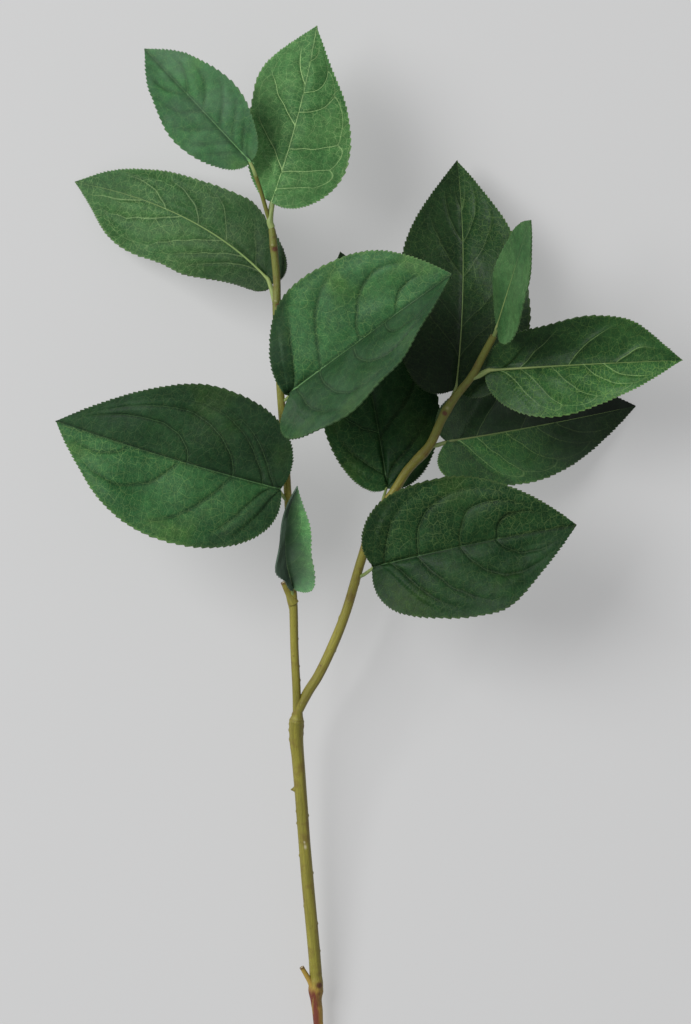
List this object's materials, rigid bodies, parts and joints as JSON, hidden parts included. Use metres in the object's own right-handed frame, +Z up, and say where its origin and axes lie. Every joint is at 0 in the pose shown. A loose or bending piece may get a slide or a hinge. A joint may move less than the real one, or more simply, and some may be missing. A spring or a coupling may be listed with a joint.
{
  "type": "salal stem",
  "caption": "Cut salal stem that lies on a surface: a woody stem that forks at a ring, with broad oval leaves that are finely toothed along their margins.",
  "frame": {"origin": "on the surface the stem lies on, under the middle of its length and width", "axes": "+Y along the stem from the cut end to the leaf tips, +X to the right as seen from above, +Z up from the surface"},
  "size_m": [0.2618, 0.4662, 0.1037],
  "materials": {
    "stem_bark": "olive bark with a soft sheen, reddish brown near the cut end",
    "twig": "yellow-green young bark with brown nodes",
    "leaf_deep": "dark green leathery upper face with a soft sheen and raised veins",
    "leaf_pale": "lighter green face with pale branching veins"
  },
  "bodies": {
    "root": {"main_stem": "stem_bark", "left_stem": "twig", "right_branch": "stem_bark", "leaf_top": "leaf_deep", "leaf_second": "leaf_pale", "leaf_side": "leaf_pale", "leaf_front": "leaf_deep", "leaf_left": "leaf_deep", "leaf_folded": "leaf_pale", "leaf_back": "leaf_deep", "leaf_tall": "leaf_pale", "leaf_upright": "leaf_pale", "leaf_bright": "leaf_pale", "leaf_low": "leaf_deep", "leaf_lower": "leaf_deep"}
  },
  "joints": []
}
